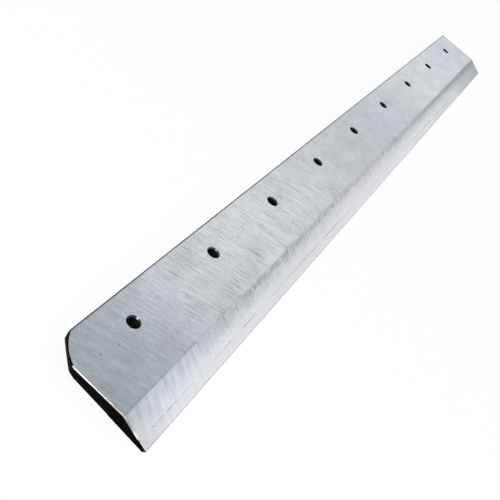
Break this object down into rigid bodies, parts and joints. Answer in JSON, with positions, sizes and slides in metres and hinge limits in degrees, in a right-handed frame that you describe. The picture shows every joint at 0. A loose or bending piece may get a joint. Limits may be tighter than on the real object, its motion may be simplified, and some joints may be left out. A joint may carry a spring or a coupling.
{
  "type": "paper cutter blade",
  "caption": "Long paper cutter knife: a flat ground steel plate with a bevelled side, a hard steel strip bonded in along the cutting edge, a row of tapped holes and a cut corner.",
  "frame": {"origin": "middle of the box around the blade, at the height of the flat side that it lies on", "axes": "+X along the length, away from the end with the cut corner; +Y across the width from the cutting edge towards the back edge; +Z through the thickness, from the flat side to the bevelled side"},
  "size_m": [1.1374, 0.1, 0.0117],
  "materials": {
    "backing_steel": "ground across the width, with fine parallel marks; sawn and darkened at the ends and the cut corner",
    "hard_steel": "finely ground along the bevel"
  },
  "bodies": {
    "root": {"blade_body": "backing_steel", "cutting_inlay": "hard_steel"}
  },
  "joints": []
}
